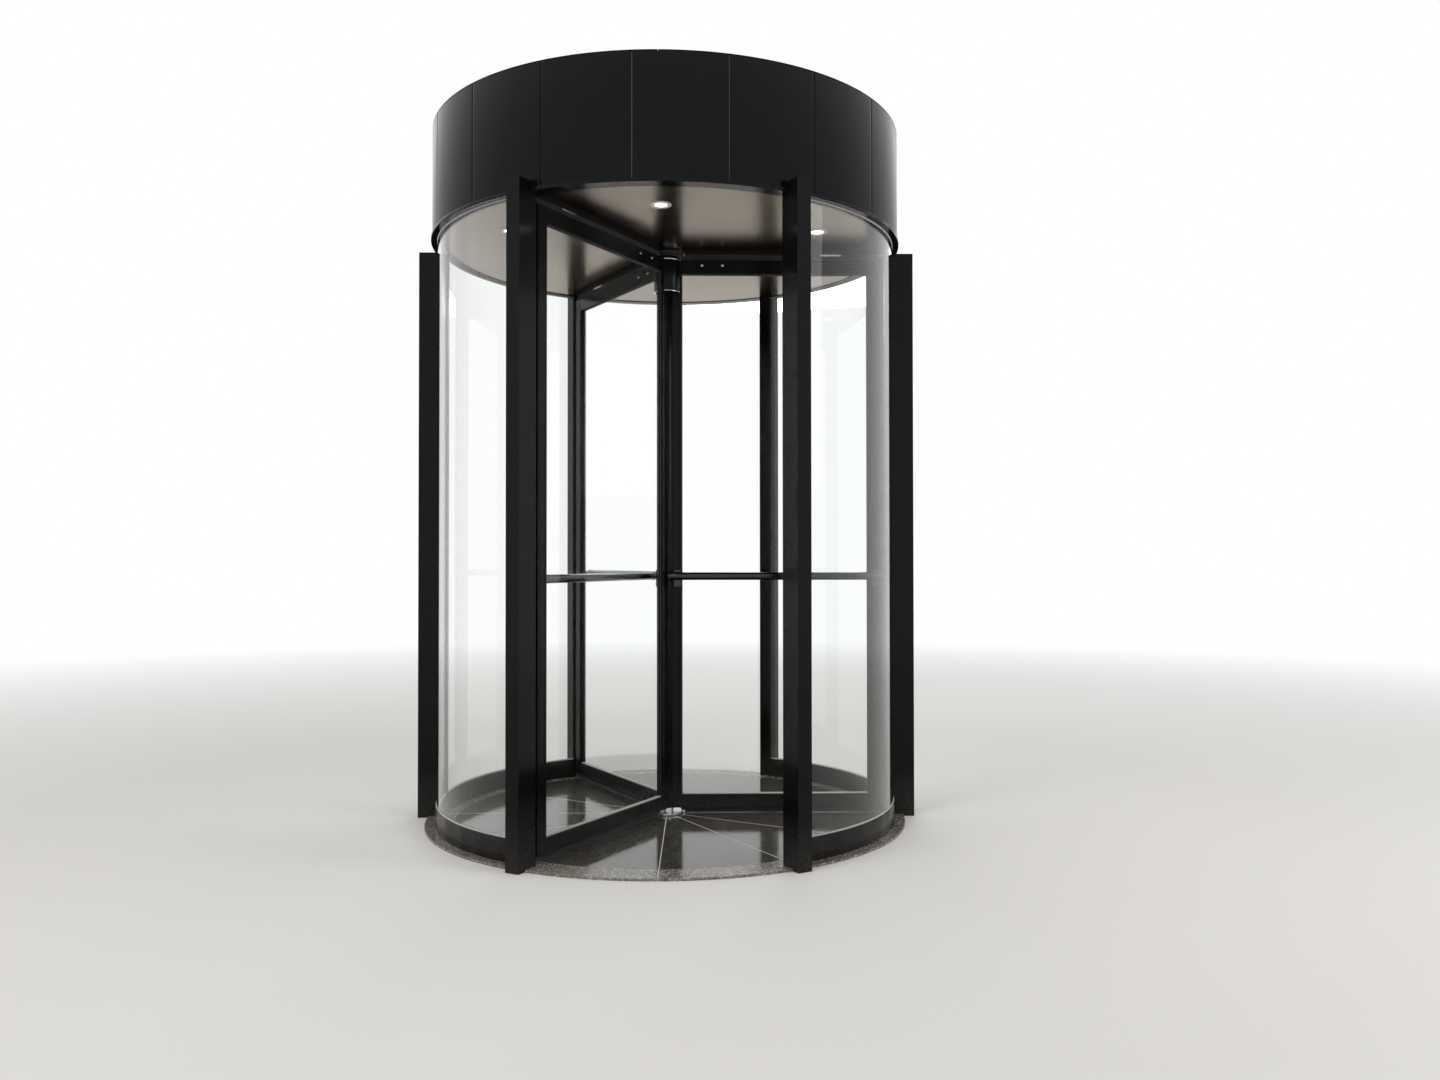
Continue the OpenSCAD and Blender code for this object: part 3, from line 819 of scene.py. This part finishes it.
class DOOR_OT_fit_curved_glass(bpy.types.Operator):
    """Makes the curved glass clear, and runs sealant beads, their pale grey partly a painted highlight along
    the rail tops, and gaskets along its edges
    """

    bl_idname = "door.fit_curved_glass"
    bl_label = "Fit the Curved Glass"

    def execute(self, context):
        names = [n for n in NODES if n.startswith("glass_")]
        dress(names, curved_clear_glass())
        inner, outer = reach(names[0])
        rail_in = reach("base_rail_right")[0]
        sill, head = corners("base_rail_right")[1].z, corners("canopy_ring")[0].z
        bead = sizes().sealant_and_highlight
        gap, play, gasket_w = 0.08 * MM, 0.2 * MM, 6 * MM
        outer_wide = bead * 0.85
        inner_wide = min(outer_wide, inner - rail_in - 0.4 * MM)
        beads, edges = Shape(grey_sealant_and_highlight()), Shape(black_rubber())
        for name in names:
            middle = node_angle(name)
            turns = [middle + (math.atan2(y, x) - middle + math.pi) % FULL_TURN - math.pi
                     for x, y, z in points(name)]
            start, end = min(turns), max(turns)
            # Pale sealant beads at the foot and the head of the glass; the pale grey is partly a painted
            # highlight along the tops of the base rails.
            for z, up in ((sill, 1), (head, -1)):
                foot = z - up * HAIR
                for r, wide in ((outer + gap, outer_wide), (inner - gap, -inner_wide)):
                    beads.sweep([(r, foot), (r + wide, foot), (r + wide * 0.45, z + up * bead * 0.35),
                                 (r, z + up * bead)], start, end, 64)
            for turn, side in ((start, 1), (end, -1)):
                for near, far in ((outer + gap, outer + 4.5 * MM), (inner - 3.4 * MM, inner - gap)):
                    edges.sweep(block(near, far, sill + play, head - play), turn,
                                turn + side * gasket_w / outer, 1)
        beads.finish("curved_glass_sealant_and_highlight", DRUM, "curved_glass", smooth=50)
        edges.finish("curved_glass_gaskets", DRUM, "black_frame")
        return {"FINISHED"}


class DOOR_OT_dress_canopy(bpy.types.Operator):
    """Gives the canopy its gloss panels, metal strips in their joints and a roof of sheets"""

    bl_idname = "door.dress_canopy"
    bl_label = "Dress the Canopy"

    def execute(self, context):
        size = sizes()
        halves = {"outside": "canopy_fascia_outside", "inside": "canopy_fascia_inside"}
        inner, outer = reach(halves["outside"])
        low, high = corners(halves["outside"])
        strips = Shape(dark_anodised_strip())
        strip = block(inner - 0.9 * MM, inner - 0.1 * MM, low.z + HAIR, high.z - HAIR)
        half_strip = size.strip_w / 2 / inner
        panels = {half: Shape(gloss_black_panel()) for half in halves}
        for (start, end), following in with_next(open_joints(*halves.values())):
            half = "inside" if math.sin((end + following) / 2) > 0 else "outside"
            panels[half].curved_panel(inner, outer, low.z, high.z, end, following, size.panel_edge, 44)
            middle = (start + end) / 2
            strips.sweep(strip, middle - half_strip, middle + half_strip, 2)
        for half, shape in panels.items():
            shape.finish(f"canopy_panels_{half}", DRUM, "canopy_panel", smooth=60, replaces=(halves[half],))
        strips.finish("fascia_joint_strips", DRUM, "satin_steel")

        low, high = corners("canopy_roof")
        face = high.z - 0.4 * MM
        radius = reach("canopy_roof")[1]
        core, gap = size.roof_core, size.roof_gap
        bolt_r, bolt_h, bolt_in, bolts = 6 * MM, 2 * MM, 30 * MM, 3
        roof = Shape(gloss_black_coat(), bolt_steel())
        step = FULL_TURN / ROOF_SHEETS
        for k in range(ROOF_SHEETS):
            roof.roof_sheet(core + gap, radius, low.z, face, step * k, step * (k + 1), gap / 2 / core,
                            gap / 2 / radius)
            for j in range(bolts):
                centre = polar(radius - bolt_in, step * (k + (j + 0.5) / bolts), face - bolt_h)
                roof.bolt(centre, UP, bolt_r, bolt_h, slot=1)
        roof.lathe(block(0.0, core, low.z, face), steps=96)
        underlay = block(core - 40 * MM, radius - 12 * MM, low.z + 0.2 * MM, low.z + 1.2 * MM)
        roof.lathe(underlay, steps=128, closed=True)
        roof.finish("canopy_roof_sheets", DRUM, "canopy_panel", replaces=("canopy_roof",))
        return {"FINISHED"}


class DOOR_OT_hang_ceiling(bpy.types.Operator):
    """Polishes the ceiling and hangs the downlights with rims, reflectors and lenses"""

    bl_idname = "door.hang_ceiling"
    bl_label = "Hang the Ceiling"

    def execute(self, context):
        size = sizes()
        dress(["canopy_ceiling"], polished_sheet())
        circle_r, rim_r = light_circle()
        low, high = corners("downlights")
        tops = [r for r, z in rims("downlights") if z > high.z - MM]
        body_r = (max(tops) - min(tops)) / 2
        sheet, face = corners("canopy_ceiling")[0].z, low.z
        mouth = rim_r - size.rim_w
        lens = face + size.lens_drop
        rim = [(rim_r, sheet), *outline(rim_r, face, (-0.4, 1.2), (-1.6, 0)),
               *outline(mouth, face, (6.4, 0), (0.8, 1.2), (0, 2.4)), (mouth, sheet)]
        cup = [*outline(mouth, face, (-0.1, 2.5), (-0.6, 5.2)), *outline(0, face, (0, 5.4), (0, 6.4)),
               *outline(mouth, face, (0.4, 6.2), (0.4, 2.5))]
        glow = [*outline(0, face, (0, 5)), *outline(mouth, face, (-1.4, 5)),
                *outline(mouth, lens, (-1.4, 1.2), (-2.4, 0.4)), (mouth * 0.6, lens), (0, lens - 0.4 * MM)]
        fins, below, groove = 5, 6 * MM, 6 * MM
        step = (high.z - sheet - below - 2 * MM) / fins
        can = [(0, sheet + 4 * MM), (body_r, sheet + 4 * MM)]
        for j in range(fins):
            z = sheet + below + step * j
            can += [(body_r, z), (body_r, z + step * 0.45), (body_r - groove, z + step * 0.5),
                    (body_r - groove, z + step * 0.95)]
        can += [*outline(body_r, high.z, (0, -2), (-2, 0)), (0, high.z)]
        fittings = Shape(rim_enamel(), lamp_reflector(), gloss_black_coat())
        lenses = Shape(lamp_lens())
        for k in range(DOWNLIGHTS):
            place = Matrix.Translation(polar(circle_r, math.radians(30) + FULL_TURN * k / DOWNLIGHTS))
            fittings.lathe(rim, place, 64, 0, closed=True)
            fittings.lathe(cup, place, 64, 1, closed=True)
            fittings.lathe(can, place, 40, 2)
            lenses.lathe(glow, place)
        fittings.finish("downlight_fittings", DRUM, "downlight", replaces=("downlights",))
        lenses.finish("downlight_lenses", DRUM, "downlight")
        return {"FINISHED"}


class DOOR_OT_glaze_wings(bpy.types.Operator):
    """Makes the wings' glass clear, and fits its gaskets, with a pale strip along the glass's foot that is
    partly a painted highlight on the bottom rail, and the bolts of the top rails
    """

    bl_idname = "door.glaze_wings"
    bl_label = "Glaze the Wings"

    def execute(self, context):
        size = sizes()
        wide, lap, bolt_h = size.gasket_w, 2 * MM, 3.8 * MM
        for letter in WINGS:
            dress([part(letter, "glass")], wing_clear_glass())
            w = wing_frame(letter)
            gasket, bolts = Shape(black_rubber(), grey_sealant_and_highlight()), Shape(bolt_steel())
            y0, y1 = w.glass_y + 0.05 * MM, w.glass_y + size.gasket_t
            left, right, sill, head = w.inner_x, w.outer_x, w.sill, w.head
            rail_z = w.head * 0.38 + w.top * 0.62
            for side in (1, -1):
                flip = w.place @ Matrix.Diagonal((1, side, 1, 1))
                normal = w.place.to_3x3() @ Vector((0, side, 0))
                # Black rubber gaskets round the glass, but pale grey sealant along its foot: partly a painted
                # highlight along the top of the bottom rail.
                for x0, x1, z0, z1, slot in ((left - lap, left + wide, sill - lap, head + lap, 0),
                                             (right - wide, right + lap, sill - lap, head + lap, 0),
                                             (left + wide, right - wide, head - wide, head + lap, 0),
                                             (left + wide, right - wide, sill - lap, sill + wide * 0.7, 1)):
                    gasket.box((x0, y0, z0), (x1, y1, z1), flip, slot)
                for x in (size.bolt_x, size.bolt_x + size.bolt_gap):
                    centre = w.place @ Vector((x, side * w.frame_y, rail_z))
                    bolts.bolt(centre, normal, size.bolt_r, bolt_h)
            gasket.finish(part(letter, "gaskets"), ROTOR, "black_frame", bevel=0.8 * MM)
            bolts.finish(part(letter, "bolts"), ROTOR, "push_bar", smooth=50)
        return {"FINISHED"}


class DOOR_OT_turn_shaft(bpy.types.Operator):
    """Turns the shaft between the wings, with its pocket for the floor pin and its steel spindle"""

    bl_idname = "door.turn_shaft"
    bl_label = "Turn the Shaft"

    def execute(self, context):
        size = sizes()
        edge, play = size.edge, size.spindle_play
        solid = rims("shaft")
        low, high = corners("shaft")
        body_r = max(r for r, z in solid)
        shoulder = max(z for r, z in solid if r > body_r - HAIR)
        spindle_r = max(r for r, z in solid if z > shoulder + 10 * MM)
        bore = min(r for r, z in solid if z < low.z + MM) + play
        pocket_top = sorted({round(z, 4) for r, z in solid})[1]
        seat = spindle_r + 1.8 * MM
        shaft = Shape(gloss_black_coat(), bolt_steel())
        shaft.lathe([(0, pocket_top), (bore, pocket_top), (bore, low.z + edge), (bore + edge, low.z),
                     *corner(body_r, low.z, edge, 1), *reversed(corner(body_r, shoulder, edge, -1)),
                     (seat, shoulder)], steps=96)
        shaft.lathe([(seat, shoulder), (spindle_r - play, shoulder + 0.6 * MM),
                     (spindle_r - play, high.z - 1.2 * MM), (spindle_r - 1.2 * MM, high.z),
                     *outline(0, high.z, (6, 0), (5, -6), (0, -9))], steps=96, slot=1)
        shaft.finish("rotor_shaft", ROTOR, "black_frame", replaces=("shaft",))
        return {"FINISHED"}


class DOOR_OT_finish_collar(bpy.types.Operator):
    """Gives the collar round the shaft its polished lips"""

    bl_idname = "door.finish_collar"
    bl_label = "Finish the Collar"

    def execute(self, context):
        radius = collar_radius()
        foot, head = corners("shaft_collar")[0].z, corners(part("a", "top_rail"))[1].z
        clear = math.asin((wing_frame("a").frame_y + 1.2 * MM) / (radius - 5 * MM))
        lips = Shape(bolt_steel())
        for letter in WINGS:
            start = node_angle(part(letter, "glass")) + clear
            for z, up in ((foot, 1), (head, -1)):
                lip = outline(radius, z, (-5.2, -0.6), (-1, -1.2), (0.8, -0.4), (1.2, 1.8), (0.6, 4),
                              (-0.2, 4.6), up=up)
                lips.sweep(lip, start, start + FULL_TURN / 3 - 2 * clear, 28)
        lips.finish("shaft_collar_lips", ROTOR, "black_frame", smooth=50)
        return {"FINISHED"}


class DOOR_OT_fit_brushes(bpy.types.Operator):
    """Replaces the plain brush strips by rows of bristle tufts"""

    bl_idname = "door.fit_brushes"
    bl_label = "Fit the Brushes"

    def execute(self, context):
        size = sizes()
        width, step, past = size.bristle_w, size.bristle_step, size.bristle_reach
        root, loose, trimmed = 4 * MM, 1.1 * MM, 0.3 * MM
        first_x = collar_radius() + 0.8 * MM
        over_plate = plate_top() + 1.3 * MM
        under_cover = corners("bearing_beam")[0].z - size.cover_lip - 0.4 * MM
        under_ceiling = corners("canopy_ceiling")[0].z - 0.2 * MM
        cover_end = cover_radius() + size.cover_lip + 1.2 * MM
        ring_r = reach("canopy_ring")[0] - 12 * MM
        circle_r, rim_r = light_circle()
        for index, letter in enumerate(WINGS):
            node, w = part(letter, "brushes"), wing_frame(letter)
            _, tip, side0, side1 = across(node, w.angle)
            low, high = corners(node)
            plate_end = min(x for x, y, z in points(node, w.angle) if z < w.bottom) - 2.2 * MM

            def lower(x):
                """Height of the tips over the floor, and how ragged they are."""
                return (over_plate if x < plate_end else low.z - past), loose

            def upper(x):
                """The same under the cover plate, the ceiling, the downlights and the canopy ring."""
                if x < cover_end:
                    return under_cover, trimmed
                if abs(x + width / 2 - circle_r) > rim_r + 4 * MM and x < ring_r:
                    return under_ceiling, trimmed
                return high.z + past, loose

            half = (side1 - side0) / 4 - 0.3 * MM
            rand = random.Random(40 + index)
            shape = Shape(black_bristles())
            for root_z, tips in ((w.bottom + root, lower), (w.top - root, upper)):
                for row in (0, 1):
                    for x in paces(first_x + row * step / 2, tip - width, step):
                        end, shag = tips(x)
                        self.tuft(shape, w.place, (x, root_z), end, UPRIGHT, half, row, shag, rand)
            for row in (0, 1):
                for z in paces(low.z - past * 0.6 + row * step / 2, high.z + past * 0.6 - width, step):
                    self.tuft(shape, w.place, (w.tip_x - root, z), tip + past, OUTWARD, half, row, loose,
                              rand)
            shape.finish(part(letter, "bristles"), ROTOR, "brush", smooth=30, replaces=(node,))
        return {"FINISHED"}

    @staticmethod
    def tuft(shape, place, root, tip, way, half, row, shag, rand):
        """A thin tapered tuft from its root (x, z), outward or upright, to a tip that is a little ragged."""
        ragged, lean = rand.uniform(0.0, shag), rand.uniform(-0.3 * MM, 0.3 * MM)
        side = (half + 0.1 * MM) * (1 if row else -1)
        end = [root[0] + lean, root[1] + lean]
        end[way] = tip - math.copysign(ragged, tip - root[way])
        width = sizes().bristle_w
        rings = []
        for (x, z), wide, thick in ((root, width, half), (end, width * 0.9, half * 0.8)):
            dx, dz = (wide, 0.0) if way == UPRIGHT else (0.0, wide)
            rings.append([shape.mesh.verts.new(place @ Vector(p)) for p in
                          ((x, side - thick, z), (x, side + thick, z), (x + dx, side + thick, z + dz),
                           (x + dx, side - thick, z + dz))])
        shape.skin(rings)


class DOOR_OT_fit_push_bars(bpy.types.Operator):
    """Finishes the push bars in black chrome, with end caps, stem rings and screws"""

    bl_idname = "door.fit_push_bars"
    bl_label = "Fit the Push Bars"

    def execute(self, context):
        size = sizes()
        dress([part(letter, "push_bar") for letter in WINGS], black_chrome(), size.edge)
        pad_t, bar_clear = 6 * MM, 20 * MM
        ring = outline(0, 0, (15.5, -0.2), (15.8, 0.6), (15.8, 3), (14.5, 4.2), (12.1, 4.6), (12.1, -0.2))
        for letter in WINGS:
            node, w = part(letter, "push_bar"), wing_frame(letter)
            x0, x1, y0, _ = across(node, w.angle)
            low, high = corners(node)
            end_z = [z for x, y, z in points(node, w.angle) if x < x0 + HAIR]
            bar_r, bar_z = (max(end_z) - min(end_z)) / 2, (max(end_z) + min(end_z)) / 2
            trims = Shape(black_chrome())
            cap = [(0.0, -0.3 * MM),
                   *outline(bar_r, 0, (0.1, -0.3), (0.1, -12), (0.8, -12), (1.2, -11.2), (1.2, -1.2), (0, 0)),
                   (bar_r * 0.5, 0.4 * MM), (0.0, 0.5 * MM)]
            for x, way in ((x0, -1), (x1, 1)):
                middle = w.place @ Matrix.Translation((x, y0 + bar_r, bar_z))
                trims.lathe(cap, middle @ Matrix.Rotation(way * math.pi / 2, 4, "Y"), 40)
            normal = w.place.to_3x3() @ Vector((0, -1, 0))
            pad_y = -w.frame_y - pad_t
            for x in (w.inner_x - 18 * MM, (w.outer_x + w.tip_x) / 2):
                foot = w.place @ Matrix.Translation((x, pad_y, bar_z))
                trims.lathe(ring, foot @ Matrix.Rotation(math.pi / 2, 4, "X"), 40, closed=True)
                for z in (low.z + 12 * MM, high.z - 10 * MM):
                    if abs(z - bar_z) > bar_clear:
                        trims.screw(w.place @ Vector((x, pad_y, z)), normal, size.screw_r)
            trims.finish(part(letter, "bar_trims"), ROTOR, "push_bar", smooth=40)
        return {"FINISHED"}


class DOOR_OT_set_studio(bpy.types.Operator):
    """Sets the pale floor, the soft lights and the camera"""

    bl_idname = "door.set_studio"
    bl_label = "Set the Studio"

    def execute(self, context):
        scene = context.scene
        scene.view_settings.view_transform = "Standard"
        self.light_world(scene)
        self.lay_floor(scene)
        self.hang_lights(scene)
        self.set_camera(scene)
        return {"FINISHED"}

    @staticmethod
    def light_world(scene):
        """Even light on the door, and pure white where the backdrop is seen."""
        scene.world = bpy.data.worlds.new("studio")
        scene.world.use_nodes = True
        nodes = Nodes(scene.world.node_tree)
        rays = nodes.add("LightPath").outputs
        seen = nodes.maths("MAXIMUM", rays["Is Camera Ray"],
                           nodes.maths("MAXIMUM", rays["Is Glossy Ray"], rays["Is Transmission Ray"]))
        back = nodes.tree.nodes["Background"].inputs
        nodes.feed(back["Color"], (1, 1, 1))
        nodes.feed(back["Strength"], nodes.spread(seen, 0.0, 1.0, scene.door_studio.world_light, 1.0))

    @staticmethod
    def lay_floor(scene):
        shape = bmesh.new()
        bmesh.ops.create_circle(shape, cap_ends=True, segments=96, radius=26.0)
        mesh = bpy.data.meshes.new("studio_floor")
        shape.to_mesh(mesh)
        shape.free()
        mesh.materials.append(studio_floor(scene.door_studio.floor))
        floor = bpy.data.objects.new("studio_floor", mesh)
        scene.collection.objects.link(floor)

    @staticmethod
    def hang_lights(scene):
        settings = scene.door_studio
        for name, where, aim, size, energy in (
                ("key", (-3.2, -4.6, 4.6), (0, 0, 1.3), (3.4, 2.4), settings.key_light),
                ("side", (4.6, -2.4, 3.2), (0, 0, 1.4), (2.2, 3.0), settings.side_light),
                ("back", (1.5, 4.8, 4.4), (0, 0, 1.5), (3.4, 2.0), settings.back_light)):
            lamp = bpy.data.lights.new(name, "AREA")
            lamp.shape = "RECTANGLE"
            lamp.size, lamp.size_y = size
            lamp.energy = energy
            light = bpy.data.objects.new(name, lamp)
            light.visible_glossy = False
            light.location = where
            light.rotation_euler = (Vector(aim) - Vector(where)).to_track_quat("-Z", "Y").to_euler()
            scene.collection.objects.link(light)

    @staticmethod
    def set_camera(scene):
        settings = scene.door_studio
        lens = bpy.data.cameras.new("camera")
        lens.lens = settings.lens
        lens.sensor_width = 36.0
        camera = bpy.data.objects.new("camera", lens)
        yaw, pitch, roll = settings.heading, settings.pitch, settings.roll
        ahead = Vector((math.sin(yaw) * math.cos(pitch), math.cos(yaw) * math.cos(pitch), math.sin(pitch)))
        right = Vector((math.cos(yaw), -math.sin(yaw), 0))
        up = right.cross(ahead)
        right, up = right * math.cos(roll) + up * math.sin(roll), up * math.cos(roll) - right * math.sin(roll)
        turn = Matrix((right, up, -ahead)).transposed()
        camera.matrix_world = Matrix.Translation(settings.eye) @ turn.to_4x4()
        scene.collection.objects.link(camera)
        scene.camera = camera


OPERATORS = (
    DOOR_OT_coat_frames,
    DOOR_OT_lay_floor,
    DOOR_OT_finish_pivot,
    DOOR_OT_fit_curved_glass,
    DOOR_OT_dress_canopy,
    DOOR_OT_hang_ceiling,
    DOOR_OT_glaze_wings,
    DOOR_OT_turn_shaft,
    DOOR_OT_finish_collar,
    DOOR_OT_fit_brushes,
    DOOR_OT_fit_push_bars,
    DOOR_OT_set_studio,
)


class DOOR_PT_finish(bpy.types.Panel):
    bl_label = "Revolving Door"
    bl_idname = "DOOR_PT_finish"
    bl_space_type = "VIEW_3D"
    bl_region_type = "UI"
    bl_category = "Door"

    def draw(self, context):
        for operator in OPERATORS:
            self.layout.operator(operator.bl_idname)
        for group in (context.scene.door_sizes, context.scene.door_colours, context.scene.door_studio):
            box = self.layout.box()
            for name in group.bl_rna.properties.keys():
                if name not in ("rna_type", "name"):
                    box.prop(group, name)


CLASSES = (DoorSizes, DoorColours, StudioSettings, *OPERATORS, DOOR_PT_finish)


def register():
    for cls in CLASSES:
        bpy.utils.register_class(cls)
    bpy.types.Scene.door_sizes = PointerProperty(type=DoorSizes)
    bpy.types.Scene.door_colours = PointerProperty(type=DoorColours)
    bpy.types.Scene.door_studio = PointerProperty(type=StudioSettings)


def unregister():
    del bpy.types.Scene.door_studio
    del bpy.types.Scene.door_colours
    del bpy.types.Scene.door_sizes
    for cls in reversed(CLASSES):
        bpy.utils.unregister_class(cls)


def main():
    register()
    for operator in OPERATORS:
        family, name = operator.bl_idname.split(".")
        getattr(getattr(bpy.ops, family), name)()


if __name__ == "__main__":
    main()
